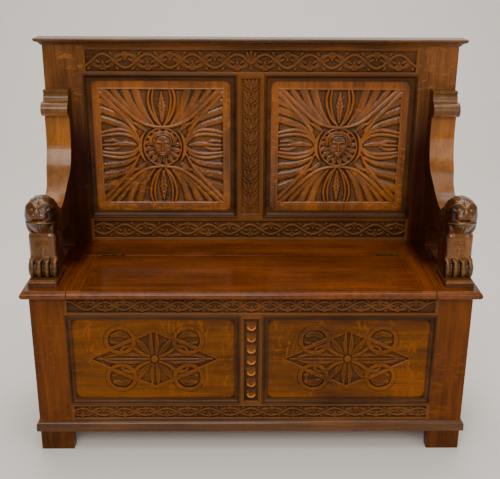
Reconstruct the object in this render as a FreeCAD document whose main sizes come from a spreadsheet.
import FreeCAD, Part
import math
import os
import re
import Sketcher

# A joined oak settle with a box seat. Origin on the floor under its middle, front towards -Y.

doc = FreeCAD.newDocument("settle_bench")
sheet = doc.addObject("Spreadsheet::Sheet", "sizes")

SIZES = [
    ("height_all", 1106, "floor to the top of the cornice board"),
    ("depth_all", 442, "seat nosing to the back of the rear stiles"),
    ("seat_height", 498, "floor to the top of the seat"),
    ("seat_width", 1220, "seat over its moulded ends"),
    ("seat_end_overhang", 17, "moulded end of the seat beyond the box"),
    ("seat_thick", 24, "seat boards"),
    ("seat_overhang", 30, "seat nosing in front of the box"),
    ("front_thick", 32, "front frame, front to back"),
    ("front_stile_wide", 91, "front stile"),
    ("front_muntin_wide", 60, "muntin between the front panels"),
    ("foot_height", 64, "floor to the underside of the bottom rails"),
    ("low_rail_tall", 80, "bottom rails of the box"),
    ("high_rail_tall", 58, "top rails of the box"),
    ("side_thick", 28, "side rails"),
    ("back_thick", 42, "rear stile, front to back"),
    ("back_rail_thick", 30, "rails and muntin of the back"),
    ("back_stile_wide", 110, "rear stile"),
    ("back_muntin_wide", 78, "muntin between the back panels"),
    ("back_top_rail_tall", 94, "top rail of the back"),
    ("back_low_rail_rise", 74, "bottom rail of the back above the seat"),
    ("back_low_rail_drop", 38, "the same rail below the seat top"),
    ("panel_thick", 14, "carved panels"),
    ("plain_panel_thick", 9, "side and rear panels of the box"),
    ("front_set_back", 10, "front panels behind their frame's face"),
    ("back_set_back", 11, "back panels behind their frame's face"),
    ("side_set_back", 9, "side panels behind their rails' face"),
    ("groove_deep", 9, "panel groove"),
    ("panel_slack", 2, "panel edge to the bottom of its groove"),
    ("tenon_thick", 10, "tenons"),
    ("tenon_long", 36, "tenons of rails and muntins"),
    ("tenon_shoulder", 10, "rail edge to its tenon"),
    ("tenon_slack", 2, "tenon end to the bottom of its mortise"),
    ("side_tenon_long", 20, "tenons of the side rails"),
    ("front_mould_wide", 15, "panel moulding of the box"),
    ("front_mould_proud", 4, "that moulding in front of its frame"),
    ("back_mould_wide", 20, "panel moulding of the back"),
    ("back_mould_proud", 5, "that moulding in front of its frame"),
    ("bead_wide", 5, "outer bead of a panel moulding"),
    ("mould_fillet", 2.5, "inner fillet of a panel moulding"),
    ("plinth_mould_tall", 30, "base moulding"),
    ("plinth_mould_proud", 9, "base moulding in front of the stiles"),
    ("plinth_mould_low", 2, "base moulding below the bottom rail"),
    ("plinth_mould_fascia", 14, "flat lower part of the base moulding"),
    ("plinth_mould_quirk", 2.2, "groove between that and the ovolo"),
    ("cap_thick", 7, "cornice board"),
    ("cap_front", 24, "cornice board in front of the back"),
    ("cap_side", 20, "cornice board beyond the rear stiles"),
    ("cap_round", 2, "rounded edge of the cornice board"),
    ("cornice_tall", 13, "cornice moulding under its board"),
    ("cornice_wide", 18, "cornice moulding out from the back"),
    ("cornice_foot", 4, "lower fillet of the cornice moulding"),
    ("cornice_head", 3, "upper fillet of the cornice moulding"),
    ("nosing_step", 4, "flat step above the seat's rounded edge"),
    ("nosing_inset", 7, "rounded edge in front of that step"),
    ("rear_board_deep", 129, "fixed seat board behind the lid"),
    ("lid_inset", 67, "middle of an arm to the lid's end"),
    ("lid_gap", 1.6, "gap round the lid"),
    ("lid_rest", 0.3, "lid above the rail and bearer under it"),
    ("cleat_wide", 37, "cleat across each end of the lid"),
    ("cleat_tongue", 8, "tongue of the lid boards in a cleat"),
    ("scratch_inset", 17, "scratched bead in from the lid's edge"),
    ("scratch_wide", 3, "scratched bead"),
    ("scratch_deep", 1.5, "scratched bead"),
    ("batten_wide", 45, "battens under the lid"),
    ("batten_thick", 18, "battens under the lid"),
    ("batten_inset", 187, "lid's end to the middle of a batten"),
    ("batten_short", 14, "front rail to a batten's end"),
    ("bearer_wide", 30, "bearer under the rear seat board"),
    ("bearer_lap", 12, "that bearer under the lid"),
    ("bearer_tall", 40, "bearer under the rear seat board"),
    ("floor_thick", 12, "floor boards of the box"),
    ("floor_height", 100, "floor to the top of those boards"),
    ("floor_gap", 1, "between floor boards"),
    ("ledger_wide", 20, "strips that carry the floor boards"),
    ("ledger_tall", 20, "strips that carry the floor boards"),
    ("hinge_inset", 85, "lid's end to the middle of a hinge"),
    ("hinge_long", 64, "butt hinge"),
    ("hinge_leaf", 1.5, "hinge leaf, thickness"),
    ("leaf_gap", 0.1, "hinge leaf to the middle of the joint"),
    ("hinge_leaf_tall", 20, "hinge leaf below the seat top"),
    ("knuckle_radius", 3.6, "hinge knuckle"),
    ("knuckle_rise", 1.2, "hinge pin above the seat top"),
    ("knuckle_relief", 0.5, "clearance round a knuckle"),
    ("knuckle_gap", 0.3, "between two knuckles"),
    ("pin_radius", 1.5, "hinge pin"),
    ("pin_clearance", 0.05, "hinge pin in its knuckle"),
    ("arm_inset", 39, "side of the box to the middle of an arm"),
    ("arm_thick", 70, "arm bracket at its top"),
    ("arm_thick_low", 56, "arm bracket below its sweep"),
    ("arm_tall", 468, "arm bracket above the seat"),
    ("arm_narrow_from", 262, "height where the arm begins to narrow"),
    ("arm_narrow_to", 190, "height where it is narrow"),
    ("arm_reach", 249, "arm bracket in front of the back"),
    ("arm_neck", 49, "arm's upright front in front of the back"),
    ("arm_sweep", 181, "radius of the arm's sweep"),
    ("arm_rest", 167, "lowest point of the arm's top above the seat"),
    ("arch_spring", 154, "crown of the arch in front of the back"),
    ("arch_radius", 85, "arch under the arm"),
    ("arch_foot", 13, "foot below the arch"),
    ("toe_out", 5, "arm's foot in front of the arch"),
    ("roll_radius", 20, "rolled top of the arm"),
    ("roll_out", 62, "centre of that roll in front of the back"),
    ("roll_up", 417, "centre of that roll above the seat"),
    ("roll_wide", 75, "rolled top, side to side"),
    ("arm_cove", 16, "cove above the roll"),
    ("arm_block_step", 4, "steps of the block at the arm's top"),
    ("arm_block_tall", 8, "top step of that block"),
    ("lion_plinth_wide", 76, "plinth under a lion's paw"),
    ("lion_plinth_tall", 18, "plinth under a lion's paw"),
    ("lion_plinth_front", 32, "seat nosing to that plinth"),
    ("lion_plinth_step", 2.5, "moulded top edge of that plinth"),
    ("scale_gap", 35, "between the scales carved on the front muntin"),
    ("scale_half", 13, "half the width of a scale"),
    ("scale_rise", 12, "straight sides of a scale"),
    ("scale_high", 2.5, "depth of the carving on the front muntin"),
    ("scale_field_wide", 40, "carved field of the front muntin"),
    ("scale_field_margin", 14, "end of the front muntin to its carved field"),
    ("field_half_wide", 181, "half the carved field of a back panel, across"),
    ("field_half_tall", 172, "half the carved field of a back panel, up"),
    ("back_carving_deep", 6, "depth of the back panels' carving"),
    ("carving_bite", 1, "raised carving below its ground, inside the panel"),
    ("fan_root", 64, "middle of a back panel to the roots of its fans"),
    ("fan_root_gap", 12, "between the roots of a fan's lobes"),
    ("fan_tip_gap", 37, "between the tips of a fan's lobes"),
    ("fan_half_root", 3, "half a lobe's width at its root"),
    ("fan_half_tip", 12, "half a lobe's width at its tip"),
    ("fan_bend", 300, "bend of a fan's outer lobes"),
    ("lobe_low", 1, "lobes below the panel's face"),
    ("lobe_run_in", 4, "lobes and ribs into the margin of their field"),
    ("rib_root", 41, "middle of a back panel to the foot of a diagonal rib, across and up"),
    ("rib_half", 7, "half the width of a diagonal rib"),
    ("boss_radius", 60, "round boss of a back panel"),
    ("front_carving_deep", 3.6, "depth of the front panels' carving"),
    ("lozenge_half_long", 166, "half the strapwork lozenge of a front panel, across"),
    ("lozenge_half_tall", 84, "half the lozenge, up"),
    ("strap_wide", 12, "straps of the lozenge"),
    ("loop_across", 93, "middle of the lozenge to a loop, across"),
    ("loop_up", 55, "middle of the lozenge to a loop, up"),
    ("loop_radius", 35, "hollow inside a loop"),
    ("petal_root", 16, "middle of the lozenge to the roots of its petals"),
    ("petal_across", 62, "middle of the lozenge to the tips of its petals, across"),
    ("petal_up", 36, "middle of the lozenge to the tips of its petals, up"),
    ("petal_half_root", 1.5, "half a petal's width at its root"),
    ("petal_half_tip", 7, "half a petal's width at its tip"),
    ("petal_bend", 120, "bend of the petals"),
    ("spear_long", 126, "long petals of the lozenge"),
    ("spear_tall", 62, "upright petals of the lozenge"),
    ("rosette_radius", 13, "rosette in the middle of the lozenge"),
    ("toe_slot", 4.5, "slot between two toes of a lion, at their tips"),
    ("toe_gap", 20.5, "between the middles of two toes"),
    ("toe_deep", 26, "length of the slots between the toes"),
    ("toe_tall", 26, "height of the slots between the toes"),
    ("shin_radius", 9, "ridge down a lion's leg"),
    ("shin_fore", 74, "middle of that ridge in front of the arm"),
    ("shin_low", 40, "foot of that ridge above the plinth"),
    ("shin_tall", 66, "height of that ridge"),
    ("brow_radius", 5.5, "brow of a lion"),
    ("brow_fore", 92, "brow in front of the arm"),
    ("brow_up", 199, "brow above the plinth"),
    ("brow_near", 4, "middle of the head to a brow"),
    ("brow_wide", 22, "length of a brow"),
]

# A lion is sawn out of five blocks, each to an outline from the side, the front and above. A corner is
# how far out and how far up it lies, then the radius that bends the next side: out is forward of the
# arm in a side view and half the width in the others, and up is above the plinth, or forward in a plan.
# A radius below 0 makes the side view round and the other two hollow.
LION_BLOCKS = {
    "leg": {
        "side": [(0, 0), (106, 0, -18), (94, 31), (80, 43, 40), (79, 66), (86, 104), (82, 126), (0, 126)],
        "front": [(41, 0), (42, 22), (34, 44), (33, 62), (38, 104), (38, 126)],
        "plan": [(42, 0), (42, 58, 44), (17, 106)],
    },
    "mane": {
        "side": [(0, 98), (52, 104), (72, 126, -70), (70, 192, -40), (44, 219, -52), (0, 172)],
        "front": [(30, 98), (43, 126), (45, 188, 44), (16, 219)],
        "plan": [(44, 0), (44, 26, 48), (22, 76)],
    },
    "face": {
        "side": [(44, 118), (84, 120), (100, 132), (96, 156), (95, 194, -44), (64, 219), (44, 219)],
        "front": [(22, 118), (32, 140), (32, 188, 34), (11, 218)],
        "plan": [(32, 0), (32, 62, 40), (12, 101)],
    },
    "muzzle": {
        "side": [(70, 157), (112, 158), (118, 176), (106, 190), (92, 198), (70, 198)],
        "front": [(21, 157), (22, 172), (10, 186), (6, 198)],
        "plan": [(22, 70), (22, 96), (9, 118)],
    },
    "chin": {
        "side": [(60, 122), (92, 122), (108, 140), (106, 152), (60, 152)],
        "front": [(20, 122), (27, 138), (28, 152)],
        "plan": [(28, 60), (27, 88), (12, 110)],
    },
}
PARTS_OF_CORNER = ("out", "up", "bend")
for name, views in LION_BLOCKS.items():
    for view, spots in views.items():
        for index, spot in enumerate(spots):
            for part, value in zip(PARTS_OF_CORNER, spot):
                SIZES.append((f"{name}_{view}_{index}_{part}", value, f"{name} of a lion, {view}, {part}"))

for row, (alias, value, note) in enumerate(SIZES, start=1):
    sheet.set(f"A{row}", note)
    sheet.set(f"B{row}", str(value))
    sheet.setAlias(f"B{row}", alias)
doc.recompute()

ALIASES = {alias for alias, value, note in SIZES}
WORD = re.compile(r"[a-z][a-z0-9_]*")
X_AXIS = FreeCAD.Vector(1, 0, 0)
Y_AXIS = FreeCAD.Vector(0, 1, 0)
Z_AXIS = FreeCAD.Vector(0, 0, 1)
PLANES = {
    "YZ": FreeCAD.Rotation(Y_AXIS, Z_AXIS, X_AXIS, "XYZ"),
    "XZ": FreeCAD.Rotation(X_AXIS, Z_AXIS, -Y_AXIS, "XYZ"),
    "plan": FreeCAD.Rotation(X_AXIS, -Y_AXIS, -Z_AXIS, "XYZ"),
}
LEFT = -1
RIGHT = 1
SIDES = {LEFT: "left", RIGHT: "right"}

# Planes that many pieces share, as expressions on the sheet.
NOSE = "(0 - depth_all / 2)"
FACE = "(seat_overhang - depth_all / 2)"
INNER_FACE = f"({FACE} + front_thick)"
BACK_FACE = "(depth_all / 2 - back_thick)"
HINGE_LINE = f"({BACK_FACE} - rear_board_deep)"
HALF = "(seat_width / 2 - seat_end_overhang)"
ARM_AT = f"({HALF} - arm_inset)"
LID_END = f"({ARM_AT} - lid_inset)"
SEAT_UNDER = "(seat_height - seat_thick)"
LOW_RAIL_TOP = "(foot_height + low_rail_tall)"
HIGH_RAIL_LOW = f"({SEAT_UNDER} - high_rail_tall)"
FRAME_TOP = "(height_all - cap_thick)"
BACK_OPEN_LOW = "(seat_height + back_low_rail_rise)"
BACK_OPEN_TOP = f"({FRAME_TOP} - back_top_rail_tall)"
BACK_RAIL_LOW = "(seat_height - back_low_rail_drop)"
FRONT_OPEN = f"({HALF} - front_stile_wide)"
BACK_OPEN = f"({HALF} - back_stile_wide)"

nodes = []


def cells(text):
    """Write the sheet's name before each of its aliases."""
    def owned(word):
        return f"sizes.{word.group()}" if word.group() in ALIASES else word.group()

    return WORD.sub(owned, str(text))


def number(text):
    """The present value of an expression."""
    return float(sheet.evalExpression(cells(text)))


def bind(thing, prop, text):
    """Tie a property to an expression."""
    thing.setExpression(prop, cells(text))


def place(thing, spot, rotation=None):
    """Put a piece at three expressions, turned if asked."""
    if rotation:
        thing.Placement = FreeCAD.Placement(FreeCAD.Vector(), rotation)
    for axis, text in zip("xyz", spot):
        bind(thing, f"Placement.Base.{axis}", text)
    return thing


def block(name, low, high):
    """A plain block between two corners."""
    piece = doc.addObject("Part::Box", name)
    for side, start, end in zip(("Length", "Width", "Height"), low, high):
        bind(piece, side, f"({end}) - ({start})")
    return place(piece, low)


def rod(name, spot, radius, length, rotation=None):
    """A round bar that starts at a spot, upright unless it is turned."""
    piece = doc.addObject("Part::Cylinder", name)
    bind(piece, "Radius", radius)
    bind(piece, "Height", length)
    return place(piece, spot, rotation)


def join(name, pieces):
    """One solid out of several that meet."""
    if len(pieces) == 1:
        return pieces[0]
    whole = doc.addObject("Part::MultiFuse", name)
    whole.Shapes = pieces
    whole.Refine = True
    return whole


def less(name, base, tools):
    """A piece with others cut away from it."""
    if not tools:
        return base
    whole = doc.addObject("Part::Cut", name)
    whole.Base = base
    whole.Tool = join(f"{name}_tools", tools)
    whole.Refine = True
    return whole


def shared(name, first, second):
    """What two pieces have in common."""
    whole = doc.addObject("Part::Common", name)
    whole.Base = first
    whole.Tool = second
    whole.Refine = True
    return whole


def group(name, pieces):
    """Several like solids in one node."""
    whole = doc.addObject("Part::Compound", name)
    whole.Links = pieces
    return whole


def outline(name, plane, corners):
    """A closed profile. A corner is (x, y) or (x, y, radius): a radius bends the next side,
    to the left of travel when it is positive."""
    sketch = doc.addObject("Sketcher::SketchObject", name)
    sketch.Placement = FreeCAD.Placement(FreeCAD.Vector(), PLANES[plane])
    points = [FreeCAD.Vector(number(corner[0]), number(corner[1]), 0) for corner in corners]
    ends = []
    for index, corner in enumerate(corners):
        start = points[index]
        end = points[(index + 1) % len(points)]
        if len(corner) == 2:
            sketch.addGeometry(Part.LineSegment(start, end), False)
            ends.append((1, 2))
            continue
        radius = number(corner[2])
        middle = (start + end) * 0.5
        along = end - start
        left = FreeCAD.Vector(-along.y, along.x, 0).normalize()
        rise = math.sqrt(max(radius * radius - along.Length ** 2 / 4, 0))
        centre = middle + left * math.copysign(rise, radius)
        first, last = (start, end) if radius > 0 else (end, start)
        angles = [math.atan2(spot.y - centre.y, spot.x - centre.x) for spot in (first, last)]
        if angles[1] < angles[0]:
            angles[1] += 2 * math.pi
        circle = Part.Circle(centre, Z_AXIS, abs(radius))
        sketch.addGeometry(Part.ArcOfCircle(circle, *angles), False)
        ends.append((1, 2) if radius > 0 else (2, 1))
    for index, corner in enumerate(corners):
        following = (index + 1) % len(corners)
        meeting = Sketcher.Constraint("Coincident", index, ends[index][1], following, ends[following][0])
        sketch.addConstraint(meeting)
    for index, corner in enumerate(corners):
        for kind, value, text in zip(("DistanceX", "DistanceY"), points[index], corner):
            place_held = sketch.addConstraint(Sketcher.Constraint(kind, index, ends[index][0], value))
            bind(sketch, f"Constraints[{place_held}]", text)
        if len(corner) == 3:
            bend_held = sketch.addConstraint(Sketcher.Constraint("Radius", index, abs(number(corner[2]))))
            bind(sketch, f"Constraints[{bend_held}]", f"abs({corner[2]})")
    return sketch


def drawn(name, sketch, start, length):
    """A profile extruded along the normal of its plane, from a start for a length."""
    piece = doc.addObject("Part::Extrusion", name)
    piece.Base = sketch
    piece.DirMode = "Normal"
    piece.Solid = True
    bind(piece, "LengthFwd", f"({start}) + ({length})")
    bind(piece, "LengthRev", f"0 - ({start})")
    return piece


def keep(piece, name):
    """Make a finished piece a node."""
    piece.Label = name
    nodes.append(piece)
    return piece


def across(side, near, far):
    """Low and high X of what lies between two distances from the middle, on one side."""
    if side == RIGHT:
        return near, far
    return f"(0 - {far})", f"(0 - {near})"


def corners(xs, ys, zs):
    """Low and high corner from three pairs."""
    return tuple(zip(xs, ys, zs))


# The joiner's framing.
def tenon(name, low, high, axis, sign):
    """A tenon, and its mortise, which is deeper by the slack."""
    tongue = block(f"{name}_tongue", low, high)
    far = list(high if sign > 0 else low)
    far[axis] = f"({far[axis]}) + ({sign}) * tenon_slack"
    if sign > 0:
        return tongue, block(f"{name}_mortise", low, far)
    return tongue, block(f"{name}_mortise", far, high)


def end_tenons(name, reach, ys, zs):
    """A rail's tenons at both ends, and the mortises, by side."""
    tongues = []
    holes = {}
    for side, word in SIDES.items():
        low, high = corners(across(side, reach, f"({reach} + tenon_long)"), ys, zs)
        tongue, holes[side] = tenon(f"{name}_{word}", low, high, 0, side)
        tongues.append(tongue)
    return tongues, holes


def shoulders(low, high):
    """A tenon's height inside its rail."""
    return f"({low} + tenon_shoulder)", f"({high} - tenon_shoulder)"


def middle_of(face, thick):
    """A tenon's place in its rail's thickness."""
    start = f"({face} + ({thick} - tenon_thick) / 2)"
    return start, f"({start} + tenon_thick)"


PANEL_LAP = "(groove_deep - panel_slack)"


class Frame:
    """A frame of two stiles, two rails and a muntin round two panels."""

    def __init__(self, name, face, rail_thick, opening, muntin, low, high, low_rail, high_rail, set_back):
        self.name = name
        self.face = face
        self.opening = opening
        self.muntin = f"({muntin} / 2)"
        self.low = low
        self.high = high
        self.set_back = set_back
        self.rail_ys = (face, f"({face} + {rail_thick})")
        self.tenon_ys = middle_of(face, rail_thick)
        self.panel_face = f"({face} + {set_back})"
        self.panel_ys = (self.panel_face, f"({self.panel_face} + panel_thick)")
        self.stile_cuts = {LEFT: [], RIGHT: []}
        self.muntin_tongues = []
        self.rail_cuts = {"low": [], "high": []}
        self.rail_adds = {"low": [], "high": []}
        self.rail_zs = {"low": low_rail, "high": high_rail}
        self.cut_joints()

    def cut_joints(self):
        """Tenons, mortises and panel grooves."""
        for word, zs in self.rail_zs.items():
            tongues, holes = end_tenons(f"{self.name}_{word}", self.opening, self.tenon_ys, shoulders(*zs))
            self.rail_adds[word] += tongues
            for side in SIDES:
                self.stile_cuts[side].append(holes[side])
        near = f"({self.muntin} - tenon_shoulder)"
        xs = (f"(0 - {near})", near)
        low, high = corners(xs, self.tenon_ys, (f"({self.low} - tenon_long)", self.low))
        tongue, hole = tenon(f"{self.name}_muntin_low", low, high, 2, -1)
        self.muntin_tongues.append(tongue)
        self.rail_cuts["low"].append(hole)
        low, high = corners(xs, self.tenon_ys, (self.high, f"({self.high} + tenon_long)"))
        tongue, hole = tenon(f"{self.name}_muntin_high", low, high, 2, 1)
        self.muntin_tongues.append(tongue)
        self.rail_cuts["high"].append(hole)
        wide = (f"(0 - {self.opening})", self.opening)
        grooves = {
            "low": (f"({self.low} - groove_deep)", self.low),
            "high": (self.high, f"({self.high} + groove_deep)"),
        }
        for word, zs in grooves.items():
            groove = block(f"{self.name}_{word}_groove", *corners(wide, self.panel_ys, zs))
            self.rail_cuts[word].append(groove)
        tall = (f"({self.low} - groove_deep)", f"({self.high} + groove_deep)")
        for side, word in SIDES.items():
            xs = across(side, self.opening, f"({self.opening} + groove_deep)")
            groove = block(f"{self.name}_{word}_groove", *corners(xs, self.panel_ys, tall))
            self.stile_cuts[side].append(groove)

    def rail(self, word, node):
        """A rail with its tenons, grooved for the panels."""
        wide = (f"(0 - {self.opening})", self.opening)
        bar = block(f"{node}_bar", *corners(wide, self.rail_ys, self.rail_zs[word]))
        whole = join(f"{node}_whole", [bar] + self.rail_adds[word])
        return keep(less(f"{node}_cut", whole, self.rail_cuts[word]), node)

    def stile(self, side, node, thick, foot, head):
        """A stile with its mortises and groove."""
        xs = across(side, self.opening, HALF)
        bar = block(f"{node}_bar", *corners(xs, (self.face, f"({self.face} + {thick})"), (foot, head)))
        return keep(less(f"{node}_cut", bar, self.stile_cuts[side]), node)

    def centre(self, node, sunk, raised):
        """The muntin, grooved on both edges, with what is sunk into it and what stands in that."""
        xs = (f"(0 - {self.muntin})", self.muntin)
        bar = block(f"{node}_bar", *corners(xs, self.rail_ys, (self.low, self.high)))
        bar = less(f"{node}_sunk", bar, sunk)
        whole = join(f"{node}_whole", [bar] + self.muntin_tongues + raised)
        grooves = []
        for side, word in SIDES.items():
            edge = across(side, f"({self.muntin} - groove_deep)", self.muntin)
            grooves.append(block(f"{node}_{word}", *corners(edge, self.panel_ys, (self.low, self.high))))
        return keep(less(f"{node}_cut", whole, grooves), node)

    def panel(self, side, node, sunk, raised):
        """A panel in its grooves, with what is sunk into it and what stands on it."""
        xs = across(side, f"({self.muntin} - {PANEL_LAP})", f"({self.opening} + {PANEL_LAP})")
        zs = (f"({self.low} - {PANEL_LAP})", f"({self.high} + {PANEL_LAP})")
        board = block(f"{node}_board", *corners(xs, self.panel_ys, zs))
        board = less(f"{node}_sunk", board, sunk)
        return keep(join(f"{node}_carved", [board] + raised), node)

    def moulding(self, side, node, sketch, wide, proud):
        """Four mitred strips round a panel, against the frame's edges and the panel's face."""
        left, right = across(side, self.muntin, self.opening)
        tall = f"({self.set_back} + {proud})"
        across_run = f"({right} - {left})"
        up_run = f"({self.high} - {self.low})"
        out = -Y_AXIS
        turns = [
            ("low", (left, self.low), across_run, X_AXIS, Z_AXIS),
            ("right", (right, self.low), up_run, Z_AXIS, -X_AXIS),
            ("high", (right, self.high), across_run, -X_AXIS, -Z_AXIS),
            ("left", (left, self.high), up_run, -Z_AXIS, X_AXIS),
        ]
        strips = []
        for word, (x, z), run, along, inward in turns:
            strip = mitred(f"{node}_{word}", sketch, run, wide, tall, wide, f"({run} - {wide})")
            turn = FreeCAD.Rotation(along, inward, out, "XYZ")
            strips.append(place(strip, (x, self.panel_face, z), turn))
        return keep(group(f"{node}_strips", strips), node)


def mitred(name, sketch, run, wide, tall, start, end):
    """A strip of moulding whose outer edge runs from a start to an end, so each end is mitred."""
    bar = doc.addObject("Part::Extrusion", f"{name}_bar")
    bar.Base = sketch
    bar.DirMode = "Normal"
    bar.Solid = True
    bind(bar, "LengthFwd", f"{run} + {wide}")
    bind(bar, "LengthRev", wide)
    prism = doc.addObject("Part::Wedge", f"{name}_mitre")
    faces = {"Xmin": 0, "Xmax": run, "X2min": start, "X2max": end, "Ymin": 0, "Ymax": wide}
    faces.update({"Zmin": 0, "Z2min": 0, "Zmax": tall, "Z2max": tall})
    for prop, text in faces.items():
        bind(prism, prop, text)
    return shared(f"{name}_strip", bar, prism)


def panel_profile(name, wide, tall):
    """A panel moulding: an outer bead, a cavetto and an inner fillet."""
    hollow = f"0.75 * sqrt(({wide} - bead_wide - mould_fillet)^2 + ({tall} - bead_wide - mould_fillet)^2)"
    bead_foot = f"({tall} - bead_wide / 2)"
    return outline(name, "YZ", [
        ("0", "0"),
        (wide, "0"),
        (wide, "mould_fillet"),
        (f"({wide} - mould_fillet)", "mould_fillet", f"0 - {hollow}"),
        ("bead_wide", f"({tall} - bead_wide)"),
        ("bead_wide", bead_foot, "bead_wide / sqrt(2)"),
        ("0", bead_foot),
    ])


# Front of the box.
front = Frame(
    "front", FACE, "front_thick", FRONT_OPEN, "front_muntin_wide", LOW_RAIL_TOP, HIGH_RAIL_LOW,
    ("foot_height", LOW_RAIL_TOP), (HIGH_RAIL_LOW, f"({SEAT_UNDER} - lid_rest)"), "front_set_back",
)

# Back of the seat, whose rear stiles run down to the floor.
back = Frame(
    "back", BACK_FACE, "back_rail_thick", BACK_OPEN, "back_muntin_wide", BACK_OPEN_LOW, BACK_OPEN_TOP,
    (BACK_RAIL_LOW, BACK_OPEN_LOW), (BACK_OPEN_TOP, FRAME_TOP), "back_set_back",
)


# Sides of the box: two rails and a plain panel between the front and rear stiles.
def box_side(side, word):
    outer = HALF
    inner = f"({HALF} - side_thick)"
    xs = across(side, inner, outer)
    tenon_xs = across(side, *middle_of(inner, "side_thick"))
    panel_out = f"({HALF} - side_set_back)"
    panel_xs = across(side, f"({panel_out} - plain_panel_thick)", panel_out)
    run = (INNER_FACE, BACK_FACE)
    groove_run = (f"({INNER_FACE} - groove_deep)", f"({BACK_FACE} + groove_deep)")
    low_zs = ("foot_height", LOW_RAIL_TOP)
    high_zs = (HIGH_RAIL_LOW, SEAT_UNDER)
    grooves = {
        "bottom": (f"({LOW_RAIL_TOP} - groove_deep)", LOW_RAIL_TOP),
        "top": (HIGH_RAIL_LOW, f"({HIGH_RAIL_LOW} + groove_deep)"),
    }
    for place_word, zs in (("bottom", low_zs), ("top", high_zs)):
        node = f"side_{place_word}_rail_{word}"
        bar = block(f"{node}_bar", *corners(xs, run, zs))
        tongue_zs = shoulders(*zs)
        fore = (f"({INNER_FACE} - side_tenon_long)", INNER_FACE)
        tongue, hole = tenon(f"{node}_fore", *corners(tenon_xs, fore, tongue_zs), 1, -1)
        front.stile_cuts[side].append(hole)
        aft = (BACK_FACE, f"({BACK_FACE} + side_tenon_long)")
        other, rear_hole = tenon(f"{node}_aft", *corners(tenon_xs, aft, tongue_zs), 1, 1)
        back.stile_cuts[side].append(rear_hole)
        groove = block(f"{node}_groove", *corners(panel_xs, run, grooves[place_word]))
        keep(less(f"{node}_cut", join(f"{node}_whole", [bar, tongue, other]), [groove]), node)
    tall = (grooves["bottom"][0], grooves["top"][1])
    front_cut = block(f"front_side_groove_{word}", *corners(panel_xs, (groove_run[0], INNER_FACE), tall))
    front.stile_cuts[side].append(front_cut)
    rear_cut = block(f"rear_side_groove_{word}", *corners(panel_xs, (BACK_FACE, groove_run[1]), tall))
    back.stile_cuts[side].append(rear_cut)
    ys = (f"({INNER_FACE} - {PANEL_LAP})", f"({BACK_FACE} + {PANEL_LAP})")
    zs = (f"({LOW_RAIL_TOP} - {PANEL_LAP})", f"({HIGH_RAIL_LOW} + {PANEL_LAP})")
    node = f"side_panel_{word}"
    keep(block(f"{node}_board", *corners(panel_xs, ys, zs)), node)


for side, word in SIDES.items():
    box_side(side, word)


# Rear of the box: a bottom rail and a plain panel up to the bottom rail of the back.
def box_rear():
    tongues, holes = end_tenons("rear_low", BACK_OPEN, back.tenon_ys, shoulders("foot_height", LOW_RAIL_TOP))
    for side in SIDES:
        back.stile_cuts[side].append(holes[side])
    wide = (f"(0 - {BACK_OPEN})", BACK_OPEN)
    panel_face = f"({BACK_FACE} + back_set_back)"
    panel_ys = (panel_face, f"({panel_face} + plain_panel_thick)")
    bar = block("rear_rail_bar", *corners(wide, back.rail_ys, ("foot_height", LOW_RAIL_TOP)))
    whole = join("rear_rail_whole", [bar] + tongues)
    low_groove = (f"({LOW_RAIL_TOP} - groove_deep)", LOW_RAIL_TOP)
    groove = block("rear_rail_groove", *corners(wide, panel_ys, low_groove))
    keep(less("rear_rail_cut", whole, [groove]), "box_rear_rail")
    high_groove = (BACK_RAIL_LOW, f"({BACK_RAIL_LOW} + groove_deep)")
    back.rail_cuts["low"].append(block("rear_high_groove", *corners(wide, panel_ys, high_groove)))
    for side, word in SIDES.items():
        xs = across(side, BACK_OPEN, f"({BACK_OPEN} + groove_deep)")
        cut = block(f"rear_groove_{word}", *corners(xs, panel_ys, (low_groove[0], high_groove[1])))
        back.stile_cuts[side].append(cut)
    reach = f"({BACK_OPEN} + {PANEL_LAP})"
    zs = (f"({LOW_RAIL_TOP} - {PANEL_LAP})", f"({BACK_RAIL_LOW} + {PANEL_LAP})")
    keep(block("box_rear_board", *corners((f"(0 - {reach})", reach), panel_ys, zs)), "box_rear_panel")


box_rear()

front.rail("low", "front_bottom_rail")
front.rail("high", "front_top_rail")
back.rail("low", "back_bottom_rail")
back.rail("high", "back_top_rail")
for side, word in SIDES.items():
    front.stile(side, f"front_stile_{word}", "front_thick", "0", SEAT_UNDER)
    back.stile(side, f"rear_stile_{word}", "back_thick", "0", FRAME_TOP)


# The front muntin is carved with a row of round scales in a sunk field.
SCALES = 7


def muntin_scales():
    """The scales, round end down, from the top of the muntin."""
    found = []
    middle = f"(({front.low} + {front.high}) / 2)"
    for index in range(SCALES):
        up = f"({middle} + ({(SCALES - 1) / 2 - index}) * scale_gap)"
        scale = outline(f"muntin_scale_{index + 1}", "XZ", [
            ("0 - scale_half", up, "scale_half * 1.001"),
            ("scale_half", up),
            ("scale_half", f"{up} + scale_rise"),
            ("0 - scale_half", f"{up} + scale_rise"),
        ])
        start = f"0 - ({front.face} + scale_high)"
        found.append(drawn(f"muntin_scale_{index + 1}_solid", scale, start, "scale_high"))
    return found


def muntin_field():
    half = "(scale_field_wide / 2)"
    zs = (f"({front.low} + scale_field_margin)", f"({front.high} - scale_field_margin)")
    ys = (front.face, f"({front.face} + scale_high)")
    return block("muntin_field", *corners((f"(0 - {half})", half), ys, zs))


front.centre("front_muntin", [muntin_field()], muntin_scales())
back.centre("back_muntin", [], [])
front_profile = panel_profile("front_mould_profile", "front_mould_wide",
                              "(front_set_back + front_mould_proud)")
back_profile = panel_profile("back_mould_profile", "back_mould_wide", "(back_set_back + back_mould_proud)")


# Carved panels. Places are from the middle of a panel, across and up.
ALONG_FORE = FreeCAD.Rotation(X_AXIS, 90)
QUARTERS = ((1, 1), (-1, 1), (1, -1), (-1, -1))
FOUR_WAYS = ((1, 0), (0, 1), (-1, 0), (0, -1))


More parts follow.
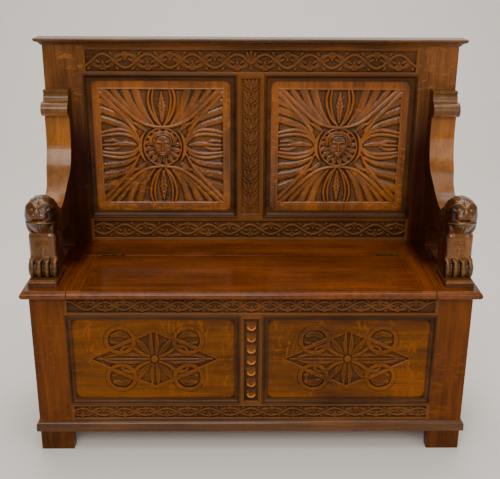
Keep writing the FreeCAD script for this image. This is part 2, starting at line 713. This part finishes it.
def panel_middle(frame, side):
    return f"(({side}) * ({frame.muntin} + {frame.opening}) / 2)", f"(({frame.low} + {frame.high}) / 2)"


def shallow(name, sketch, face, deep, under="0"):
    """A profile from a face back to a depth, and further if asked."""
    return drawn(name, sketch, f"0 - ({face} + {deep} + {under})", f"{deep} + {under}")


def lobe(name, middle, root, tip, halves, bend, face, deep):
    """A carved lobe from its root to its tip, with both sides bent alike."""
    run, rise = (number(f"({end}) - ({start})") for start, end in zip(root, tip))
    right = rise / math.hypot(run, rise), -run / math.hypot(run, rise)

    def corner(spot, sign, half):
        return tuple(f"{centre} + {place} + ({sign * share:.5f}) * {half}"
                     for centre, place, share in zip(middle, spot, right))

    sketch = outline(name, "XZ", [
        corner(root, -1, halves[0]),
        corner(root, 1, halves[0]) + ((bend,) if bend else ()),
        corner(tip, 1, halves[1]),
        corner(tip, -1, halves[1]) + ((f"0 - ({bend})",) if bend else ()),
    ])
    return shallow(f"{name}_solid", sketch, f"{face} + lobe_low", f"{deep} - lobe_low", "carving_bite")


def disc(name, middle, radius, face, deep):
    """A round boss on a carved ground."""
    spot = (middle[0], f"{face} + {deep} + carving_bite", middle[1])
    return rod(name, spot, radius, f"{deep} + carving_bite - lobe_low", ALONG_FORE)


def back_carving(side, word):
    """The sunk field of a back panel, and the fans, diagonal ribs and boss that stand in it."""
    middle = panel_middle(back, side)
    carving = (back.panel_face, "back_carving_deep")
    xs = (f"({middle[0]} - field_half_wide)", f"({middle[0]} + field_half_wide)")
    zs = (f"({middle[1]} - field_half_tall)", f"({middle[1]} + field_half_tall)")
    sunk = block(f"back_field_{word}", *corners(xs, (carving[0], f"({carving[0]} + {carving[1]})"), zs))
    raised = [disc(f"boss_{word}", middle, "boss_radius", *carving)]
    for index, (a, b) in enumerate(FOUR_WAYS):
        reach = "(field_half_tall + lobe_run_in)" if b else "(field_half_wide + lobe_run_in)"
        for step in range(-2, 3):
            root = (f"(({a}) * fan_root + ({b * step}) * fan_root_gap)",
                    f"(({b}) * fan_root + ({a * step}) * fan_root_gap)")
            tip = (f"(({a}) * {reach} + ({b * step}) * fan_tip_gap)",
                   f"(({b}) * {reach} + ({a * step}) * fan_tip_gap)")
            outward = step // 2 if abs(step) == 2 else 0
            bend = f"({outward * (b * b - a * a)}) * fan_bend" if outward else ""
            raised.append(lobe(f"fan_{word}_{index}_{step + 2}", middle, root, tip,
                               ("fan_half_root", "fan_half_tip"), bend, *carving))
    for index, (a, b) in enumerate(QUARTERS):
        root = (f"(({a}) * rib_root)", f"(({b}) * rib_root)")
        tip = (f"(({a}) * (field_half_wide + lobe_run_in))", f"(({b}) * (field_half_tall + lobe_run_in))")
        raised.append(lobe(f"rib_{word}_{index}", middle, root, tip, ("rib_half", "rib_half"), "", *carving))
    return [sunk], raised


def front_carving(side, word):
    """The hollows of a front panel's strapwork, and the petals and rosette in its lozenge."""
    middle = panel_middle(front, side)
    carving = (front.panel_face, "front_carving_deep")

    def lozenge(name, shrink):
        share = f"(1 - {shrink} / lozenge_half_tall)"
        long, tall = f"lozenge_half_long * {share}", f"lozenge_half_tall * {share}"
        tips = [(f"{middle[0]} + ({a}) * {long}", f"{middle[1]} + ({b}) * {tall}") for a, b in FOUR_WAYS]
        return shallow(f"{name}_solid", outline(name, "XZ", tips), *carving)

    sunk = [lozenge(f"lozenge_inner_{word}", "strap_wide")]
    raised = [disc(f"rosette_{word}", middle, "rosette_radius", *carving)]
    for index, (a, b) in enumerate(QUARTERS):
        spot = (f"{middle[0]} + ({a}) * loop_across", f"({carving[0]} + {carving[1]})",
                f"{middle[1]} + ({b}) * loop_up")
        hollow = rod(f"loop_{word}_{index}", spot, "loop_radius", carving[1], ALONG_FORE)
        outer = lozenge(f"lozenge_outer_{word}_{index}", "0")
        sunk.append(less(f"loop_hollow_{word}_{index}", hollow, [outer]))
        root = (f"(({a}) * petal_root)", f"(({b}) * petal_root / 2)")
        tip = (f"(({a}) * petal_across)", f"(({b}) * petal_up)")
        raised.append(lobe(f"petal_{word}_{index}", middle, root, tip, ("petal_half_root", "petal_half_tip"),
                           f"({-a * b}) * petal_bend", *carving))
    for index, (a, b) in enumerate(FOUR_WAYS):
        tip = (f"(({a}) * spear_long)", f"(({b}) * spear_tall)")
        raised.append(lobe(f"spear_{word}_{index}", middle, ("0", "0"), tip,
                           ("petal_half_tip", "petal_half_root"), "", *carving))
    return sunk, raised


for side, word in SIDES.items():
    front.panel(side, f"front_panel_{word}", *front_carving(side, word))
    back.panel(side, f"back_panel_{word}", *back_carving(side, word))
    front.moulding(side, f"front_panel_moulding_{word}", front_profile, "front_mould_wide",
                   "front_mould_proud")
    back.moulding(side, f"back_panel_moulding_{word}", back_profile, "back_mould_wide",
                  "back_mould_proud")


# Mouldings planted round the outside: along the front and both ends, mitred at the front corners.
def planted(name, sketch, wide, tall, face, rear, height):
    end_run = f"({rear} - {face})"
    front_run = f"(2 * {HALF})"
    runs = [
        ("front", (HALF, face, height), front_run, f"0 - {wide}", f"{front_run} + {wide}", -X_AXIS, -Y_AXIS),
        ("left", (f"0 - {HALF}", face, height), end_run, f"0 - {wide}", end_run, Y_AXIS, -X_AXIS),
        ("right", (HALF, rear, height), end_run, "0", f"{end_run} + {wide}", -Y_AXIS, X_AXIS),
    ]
    for word, spot, run, start, end, along, outward in runs:
        strip = mitred(f"{name}_{word}", sketch, run, wide, tall, start, end)
        turn = FreeCAD.Rotation(along, outward, Z_AXIS, "XYZ")
        keep(place(strip, spot, turn), f"{name}_{word}")


plinth_profile = outline("plinth_mould_profile", "YZ", [
    ("0", "0"),
    ("plinth_mould_proud", "0"),
    ("plinth_mould_proud", "plinth_mould_fascia"),
    ("plinth_mould_proud - plinth_mould_quirk", "plinth_mould_fascia"),
    ("plinth_mould_proud - plinth_mould_quirk", "plinth_mould_fascia + plinth_mould_quirk"),
    ("plinth_mould_proud", "plinth_mould_fascia + plinth_mould_quirk",
     "plinth_mould_tall - plinth_mould_fascia - plinth_mould_quirk"),
    ("0", "plinth_mould_tall"),
])
planted("base_moulding", plinth_profile, "plinth_mould_proud", "plinth_mould_tall", FACE, "(depth_all / 2)",
        "foot_height - plinth_mould_low")

cornice_profile = outline("cornice_profile", "YZ", [
    ("0", "0"),
    ("cornice_foot", "0", "0 - 1.2 * (cornice_wide - cornice_foot)"),
    ("cornice_wide", "cornice_tall - cornice_head"),
    ("cornice_wide", "cornice_tall"),
    ("0", "cornice_tall"),
])
planted("cornice_moulding", cornice_profile, "cornice_wide", "cornice_tall", BACK_FACE, "(depth_all / 2)",
        f"{FRAME_TOP} - cornice_tall")


# Boards with a moulded edge: a rounded nosing under a small flat step, or a plain rounded edge.
def nosed(edge, sign, low, step, top, inset):
    """Corners of a rounded edge from the board's underside up, then its step if it has one."""
    inner = f"({edge} - ({sign}) * {inset})"
    bend = f"({sign}) * ((({step}) - ({low})) ^ 2 / 4 + {inset} ^ 2) / (2 * {inset})"
    found = [(inner, low, bend), (inner, step)]
    if top != step:
        found.append((inner, top))
    return found


def board_section(name, plane, near, edge, sign, low, step, top, inset):
    """Section of a board from a square edge to a moulded one."""
    return outline(name, plane, [(near, low)] + nosed(edge, sign, low, step, top, inset) + [(near, top)])


SEAT_STEP = "(seat_height - nosing_step)"
FIXED_END = f"({LID_END} + lid_gap)"
LID_REAR = f"({HINGE_LINE} - lid_gap / 2)"
SEAT_LEVELS = (SEAT_UNDER, SEAT_STEP, "seat_height", "nosing_inset")
front_section = board_section("seat_front_section", "YZ", BACK_FACE, NOSE, -1, *SEAT_LEVELS)
lid_section = board_section("lid_front_section", "YZ", LID_REAR, NOSE, -1, *SEAT_LEVELS)


def seat_end(side, word):
    """A fixed board under an arm, moulded along the front and the outer end."""
    low, high = across(side, FIXED_END, "(seat_width / 2)")
    run = drawn(f"seat_end_run_{word}", front_section, low, f"{high} - {low}")
    near = f"({side}) * {FIXED_END}"
    edge = f"(({side}) * seat_width / 2)"
    section = board_section(f"seat_end_section_{word}", "XZ", near, edge, side, *SEAT_LEVELS)
    cross = drawn(f"seat_end_cross_{word}", section, f"0 - {BACK_FACE}", f"{BACK_FACE} - {NOSE}")
    keep(shared(f"seat_end_{word}_board", run, cross), f"seat_end_board_{word}")


for side, word in SIDES.items():
    seat_end(side, word)

CAP_LEVELS = (FRAME_TOP, "height_all", "height_all", "cap_round")


def cornice_board():
    """The board on top of the back, rounded along its front and ends."""
    edge = f"({BACK_FACE} - cap_front)"
    side_edge = f"({HALF} + cap_side)"
    section = board_section("cap_front_section", "YZ", "depth_all / 2", edge, -1, *CAP_LEVELS)
    run = drawn("cap_run", section, f"0 - {side_edge}", f"2 * {side_edge}")
    ends = []
    for side, word in SIDES.items():
        reach = f"(({side}) * {side_edge})"
        end = board_section(f"cap_end_section_{word}", "XZ", "0", reach, side, *CAP_LEVELS)
        ends.append(drawn(f"cap_cross_{word}", end, "0 - depth_all / 2", f"depth_all / 2 - {edge}"))
    keep(shared("cap_board", run, join("cap_cross", ends)), "cornice_board")


cornice_board()


# The butt hinges of the lid.
PIN_HEIGHT = "(seat_height + knuckle_rise)"
LEAF_LOW = "(seat_height - hinge_leaf_tall)"
LEAF_TOP = f"({PIN_HEIGHT} - knuckle_radius - knuckle_relief)"
LEAF_NEAR = f"({HINGE_LINE} + leaf_gap)"
LEAF_FAR = f"({LEAF_NEAR} + hinge_leaf)"
KNUCKLES = 3
ALONG_X = FreeCAD.Rotation(Y_AXIS, 90)


def mirrored_y(ys):
    """The same distances on the lid's side of the hinge line."""
    return f"(2 * {HINGE_LINE} - {ys[1]})", f"(2 * {HINGE_LINE} - {ys[0]})"


def hinge_start(side):
    """Lowest X of a hinge."""
    return f"(({side}) * ({LID_END} - hinge_inset) - hinge_long / 2)"


def hinge_leaf(side, word, owner, first):
    """One leaf with every second knuckle, bored for the pin."""
    start = hinge_start(side)
    ys = (LEAF_NEAR, LEAF_FAR) if owner == "fixed" else mirrored_y((LEAF_NEAR, LEAF_FAR))
    name = f"hinge_{owner}_{word}"
    pieces = [block(f"{name}_plate", *corners((start, f"({start} + hinge_long)"), ys, (LEAF_LOW, LEAF_TOP)))]
    step = f"(hinge_long / {KNUCKLES})"
    for index in range(first, KNUCKLES, 2):
        low = f"({start} + {index} * {step} + knuckle_gap / 2)"
        long = f"({step} - knuckle_gap)"
        spot = (low, HINGE_LINE, PIN_HEIGHT)
        pieces.append(rod(f"{name}_knuckle_{index}", spot, "knuckle_radius", long, ALONG_X))
        web = corners((low, f"({low} + {long})"), ys, (LEAF_LOW, PIN_HEIGHT))
        pieces.append(block(f"{name}_web_{index}", *web))
    bore = rod(f"{name}_bore", (f"({start} - 1)", HINGE_LINE, PIN_HEIGHT), "pin_radius + pin_clearance",
               "hinge_long + 2", ALONG_X)
    return less(f"{name}_leaf", join(f"{name}_solid", pieces), [bore])


def hinge_room(owner, side, word):
    """What a board loses to a hinge: the leaf's seat and room round the knuckles."""
    start = hinge_start(side)
    xs = (start, f"({start} + hinge_long)")
    ys = (HINGE_LINE, LEAF_FAR) if owner == "fixed" else mirrored_y((HINGE_LINE, LEAF_FAR))
    seat = block(f"leaf_seat_{owner}_{word}", *corners(xs, ys, (LEAF_LOW, "(seat_height + 1)")))
    room = rod(f"knuckle_room_{owner}_{word}", (start, HINGE_LINE, PIN_HEIGHT),
               "knuckle_radius + knuckle_relief", "hinge_long", ALONG_X)
    return [seat, room]


def hinges():
    fixed = [hinge_leaf(side, word, "fixed", 0) for side, word in SIDES.items()]
    moving = [hinge_leaf(side, word, "lid", 1) for side, word in SIDES.items()]
    pins = []
    for side, word in SIDES.items():
        spot = (hinge_start(side), HINGE_LINE, PIN_HEIGHT)
        pins.append(rod(f"pin_{word}", spot, "pin_radius", "hinge_long", ALONG_X))
    keep(group("hinge_fixed_pair", fixed), "hinge_fixed_leaves")
    keep(group("hinge_lid_pair", moving), "hinge_lid_leaves")
    keep(group("hinge_pin_pair", pins), "hinge_pins")


hinges()


# The lid: boards run lengthwise, with a cleat tongued on across each end and battens below.
BOARD_END = f"({LID_END} - cleat_wide)"


def lid():
    run = drawn("lid_board_run", lid_section, f"0 - {BOARD_END}", f"2 * {BOARD_END}")
    tongue_zs = (f"({SEAT_UNDER} + seat_thick / 3)", "(seat_height - seat_thick / 3)")
    tongue_ys = (f"({NOSE} + 2 * nosing_inset)", f"({LID_REAR} - nosing_inset)")
    tongues = []
    for side, word in SIDES.items():
        xs = across(side, BOARD_END, f"({BOARD_END} + cleat_tongue)")
        tongues.append(block(f"lid_tongue_{word}", *corners(xs, tongue_ys, tongue_zs)))
        groove = block(f"lid_groove_{word}", *corners(xs, tongue_ys, tongue_zs))
        low, high = across(side, BOARD_END, LID_END)
        cleat = drawn(f"lid_cleat_run_{word}", lid_section, low, f"{high} - {low}")
        keep(less(f"lid_cleat_{word}_cut", cleat, [groove]), f"lid_cleat_{word}")
    cuts = []
    scratch_zs = ("(seat_height - scratch_deep)", "(seat_height + 1)")
    fore = f"({NOSE} + scratch_inset)"
    out = f"({BOARD_END} - scratch_inset)"
    fore_line = corners((f"(0 - {out})", out), (fore, f"({fore} + scratch_wide)"), scratch_zs)
    cuts.append(block("lid_scratch_fore", *fore_line))
    for side, word in SIDES.items():
        xs = across(side, f"({out} - scratch_wide)", out)
        cuts.append(block(f"lid_scratch_{word}", *corners(xs, (fore, f"({LID_REAR} + 1)"), scratch_zs)))
        cuts += hinge_room("lid", side, word)
    keep(less("lid_board_cut", join("lid_board_whole", [run] + tongues), cuts), "lid_board")
    battens = []
    for side, word in SIDES.items():
        middle = f"(({side}) * ({LID_END} - batten_inset))"
        xs = (f"({middle} - batten_wide / 2)", f"({middle} + batten_wide / 2)")
        ys = (f"({INNER_FACE} + batten_short)", f"({HINGE_LINE} - bearer_lap - batten_short)")
        zs = (f"({SEAT_UNDER} - batten_thick)", SEAT_UNDER)
        battens.append(block(f"batten_{word}", *corners(xs, ys, zs)))
    keep(group("batten_pair", battens), "lid_battens")


lid()


# The fixed board behind the lid, the bearer below it, and the floor of the box.
def inside():
    xs = (f"(0 - {FIXED_END})", FIXED_END)
    near = f"({HINGE_LINE} + lid_gap / 2)"
    board = block("rear_seat_plank", *corners(xs, (near, BACK_FACE), (SEAT_UNDER, "seat_height")))
    cuts = []
    for side, word in SIDES.items():
        cuts += hinge_room("fixed", side, word)
    keep(less("rear_seat_cut", board, cuts), "rear_seat_board")
    inner = f"({HALF} - side_thick)"
    room = (f"(0 - {inner})", inner)
    start = f"({HINGE_LINE} - bearer_lap)"
    top = f"({SEAT_UNDER} - lid_rest)"
    zs = (f"({SEAT_UNDER} - bearer_tall)", top)
    low_bar = block("bearer_bar", *corners(room, (start, f"({start} + bearer_wide)"), zs))
    rest = corners(room, (near, f"({start} + bearer_wide)"), (zs[0], SEAT_UNDER))
    keep(join("bearer_whole", [low_bar, block("bearer_rest", *rest)]), "rear_seat_bearer")
    under = "(floor_height - floor_thick)"
    ledger_zs = (f"({under} - ledger_tall)", under)
    ledgers = [
        block("ledger_front", *corners(room, (INNER_FACE, f"({INNER_FACE} + ledger_wide)"), ledger_zs)),
        block("ledger_rear", *corners(room, (f"({BACK_FACE} - ledger_wide)", BACK_FACE), ledger_zs)),
    ]
    keep(group("ledger_pair", ledgers), "floor_ledgers")
    count = 3
    wide = f"(({BACK_FACE} - {INNER_FACE} - {count - 1} * floor_gap) / {count})"
    boards = []
    for index in range(count):
        low = f"({INNER_FACE} + {index} * ({wide} + floor_gap))"
        span = corners(room, (low, f"({low} + {wide})"), (under, "floor_height"))
        boards.append(block(f"floor_board_{index + 1}", *span))
    keep(group("floor_board_set", boards), "floor_boards")


inside()


# The arms: a thick board sawn to an S in its side and narrowed in its front, with a rolled top.
def arm_spot(out, up):
    """A corner of the arm's side, from the back's face forward and from the seat up."""
    return f"({BACK_FACE} - ({out}))", f"(seat_height + ({up}))"


def arm(side, word, sketch):
    thick = drawn(f"arm_board_{word}", sketch, f"({side}) * {ARM_AT} - roll_wide / 2", "roll_wide")
    centre = f"(({side}) * {ARM_AT})"
    wide = "(arm_thick / 2)"
    slim = "(arm_thick_low / 2)"
    rise = "(arm_narrow_from - arm_narrow_to)"
    step = f"({wide} - {slim})"
    bend = f"({rise} ^ 2 + {step} ^ 2) / (4 * {step})"
    middle = f"(({wide} + {slim}) / 2)"
    halfway = "(seat_height + (arm_narrow_from + arm_narrow_to) / 2)"
    low = "(seat_height + arm_narrow_to)"
    high = "(seat_height + arm_narrow_from)"
    top = "(seat_height + arm_tall)"
    front_view = outline(f"arm_front_{word}", "XZ", [
        (f"{centre} - {slim}", "seat_height"),
        (f"{centre} + {slim}", "seat_height"),
        (f"{centre} + {slim}", low, f"0 - {bend}"),
        (f"{centre} + {middle}", halfway, bend),
        (f"{centre} + {wide}", high),
        (f"{centre} + {wide}", top),
        (f"{centre} - {wide}", top),
        (f"{centre} - {wide}", high, bend),
        (f"{centre} - {middle}", halfway, f"0 - {bend}"),
        (f"{centre} - {slim}", low),
    ])
    slab = drawn(f"arm_slab_{word}", front_view, f"0 - {BACK_FACE}", "arm_reach")
    sawn = shared(f"arm_sawn_{word}", thick, slab)
    spot = (f"{centre} - roll_wide / 2",) + arm_spot("roll_out", "roll_up")
    roll = rod(f"arm_roll_{word}", spot, "roll_radius", "roll_wide", ALONG_X)
    keep(join(f"arm_whole_{word}", [sawn, roll]), f"arm_{word}")


cove_foot = "roll_up + roll_radius"
cove_top = "roll_up + roll_radius + arm_cove"
block_out = "roll_out - arm_cove"
block_low = "arm_tall - arm_block_tall"
roll_neck = "roll_up - sqrt(roll_radius ^ 2 - (roll_out - arm_neck) ^ 2)"
arm_side = outline("arm_side", "YZ", [
    arm_spot("0", "0"),
    arm_spot("toe_out + arch_spring - arch_radius", "0"),
    arm_spot("toe_out + arch_spring - arch_radius", "arch_foot"),
    arm_spot("arch_spring - arch_radius", "arch_foot") + ("arch_radius",),
    arm_spot("arch_spring", "arch_foot + arch_radius"),
    arm_spot("arm_reach", "arch_foot + arch_radius"),
    arm_spot("arm_reach", "arm_rest"),
    arm_spot("arm_neck + arm_sweep", "arm_rest") + ("arm_sweep",),
    arm_spot("arm_neck", "arm_rest + arm_sweep"),
    arm_spot("arm_neck", roll_neck) + ("0 - roll_radius",),
    arm_spot("roll_out + roll_radius", "roll_up") + ("0 - roll_radius",),
    arm_spot("roll_out", cove_foot) + ("arm_cove",),
    arm_spot(block_out, cove_top),
    arm_spot(block_out, "arm_tall - 1.5 * arm_block_tall"),
    arm_spot(f"{block_out} - arm_block_step", "arm_tall - 1.5 * arm_block_tall"),
    arm_spot(f"{block_out} - arm_block_step", block_low),
    arm_spot(block_out, block_low),
    arm_spot(block_out, "arm_tall"),
    arm_spot("0", "arm_tall"),
])
for side, word in SIDES.items():
    arm(side, word, arm_side)


# A lion's head on one leg stands on a plinth in front of each arm.
LION_FOOT = "(seat_height + lion_plinth_tall)"
LION_BACK = f"({BACK_FACE} - arm_reach)"


def plinth(side, word):
    centre = f"(({side}) * {ARM_AT})"
    fore = f"({NOSE} + lion_plinth_front)"
    step_low = f"({LION_FOOT} - 2 * lion_plinth_step)"
    half = "(lion_plinth_wide / 2)"
    tight = f"({half} - lion_plinth_step)"
    low = corners((f"{centre} - {half}", f"{centre} + {half}"), (fore, LION_BACK), ("seat_height", step_low))
    xs = (f"{centre} - {tight}", f"{centre} + {tight}")
    high = corners(xs, (f"({fore} + lion_plinth_step)", LION_BACK), (step_low, LION_FOOT))
    base = block(f"plinth_base_{word}", *low)
    keep(join(f"plinth_whole_{word}", [base, block(f"plinth_top_{word}", *high)]), f"lion_plinth_{word}")


def mirrored(middle, halves):
    """Corners of a profile with two like halves, up its right side and down its left."""
    right = [(f"{middle} + {half[0]}", *half[1:]) for half in halves]
    pairs = list(zip(halves, halves[1:]))
    left = [(f"{middle} - {upper[0]}", upper[1], *lower[2:]) for lower, upper in reversed(pairs)]
    return right + left + [(f"{middle} - {halves[0][0]}", halves[0][1])]


def lion_block(name, word, centre):
    """A block of a lion, sawn to its outlines from the side, the front and above."""
    views = {}
    for view, spots in LION_BLOCKS[name].items():
        views[view] = [tuple(f"{name}_{view}_{index}_{part}" for part, value in zip(PARTS_OF_CORNER, spot))
                       for index, spot in enumerate(spots)]
    label = f"lion_{name}_{word}"
    half = f"{name}_plan_0_out"
    deep = f"{name}_plan_{len(views['plan']) - 1}_up"
    side_corners = [(f"{LION_BACK} - {out}", f"{LION_FOOT} + {up}", *bend)
                    for out, up, *bend in views["side"]]
    side_view = outline(f"{label}_side", "YZ", side_corners)
    slab = drawn(f"{label}_side_solid", side_view, f"{centre} - {half}", f"2 * {half}")
    front_corners = mirrored(centre, [(out, f"{LION_FOOT} + {up}", *bend)
                                      for out, up, *bend in views["front"]])
    front_view = outline(f"{label}_front", "XZ", front_corners)
    post = drawn(f"{label}_front_solid", front_view, f"0 - {LION_BACK}", deep)
    plan_corners = mirrored(centre, [(out, f"{up} - {LION_BACK}", *bend) for out, up, *bend in views["plan"]])
    plan = outline(f"{label}_plan", "plan", plan_corners)
    tall = f"(2 * {name}_front_{len(views['front']) - 1}_up)"
    column = drawn(f"{label}_plan_solid", plan, f"0 - {LION_FOOT} - {tall}", tall)
    return shared(f"{label}_block", shared(f"{label}_two_ways", slab, post), column)


def lion(side, word):
    """A lion's head and mane on one leg, with a ridge down the leg, four toes and heavy brows."""
    centre = f"(({side}) * {ARM_AT})"
    pieces = [lion_block(name, word, centre) for name in LION_BLOCKS]
    spot = (centre, f"({LION_BACK} - shin_fore)", f"({LION_FOOT} + shin_low)")
    pieces.append(rod(f"lion_shin_{word}", spot, "shin_radius", "shin_tall"))
    for twin, offset in ((LEFT, "0 - brow_near - brow_wide"), (RIGHT, "brow_near")):
        spot = (f"{centre} + {offset}", f"({LION_BACK} - brow_fore)", f"({LION_FOOT} + brow_up)")
        pieces.append(rod(f"lion_brow_{word}_{twin + 1}", spot, "brow_radius", "brow_wide", ALONG_X))
    slots = []
    for step in (-1, 0, 1):
        middle = f"({centre} + ({step}) * toe_gap)"
        tip = f"(leg_side_1_out + toe_slot - {LION_BACK})"
        slot = outline(f"toe_slot_{word}_{step + 1}", "plan", [
            (f"{middle} - toe_slot", tip),
            (middle, f"{tip} - toe_deep"),
            (f"{middle} + toe_slot", tip),
        ])
        slots.append(drawn(f"toe_cut_{word}_{step + 1}", slot, f"0 - {LION_FOOT} - toe_tall", "toe_tall"))
    keep(less(f"lion_cut_{word}", join(f"lion_whole_{word}", pieces), slots), f"lion_{word}")


for side, word in SIDES.items():
    plinth(side, word)
    lion(side, word)

# Check, then write every node.
doc.recompute()
for thing in doc.Objects:
    if "Invalid" in thing.State or "Error" in thing.State:
        raise RuntimeError(f"{thing.Name} did not compute: {thing.State}")
for piece in nodes:
    if piece.Shape.isNull() or not piece.Shape.isValid() or not piece.Shape.Solids:
        raise RuntimeError(f"{piece.Label} is not a sound solid")

os.makedirs("parts", exist_ok=True)
for piece in nodes:
    piece.Shape.exportStep(f"parts/{piece.Label}.step")
print(len(nodes), "nodes,", sum(len(piece.Shape.Solids) for piece in nodes), "solids")
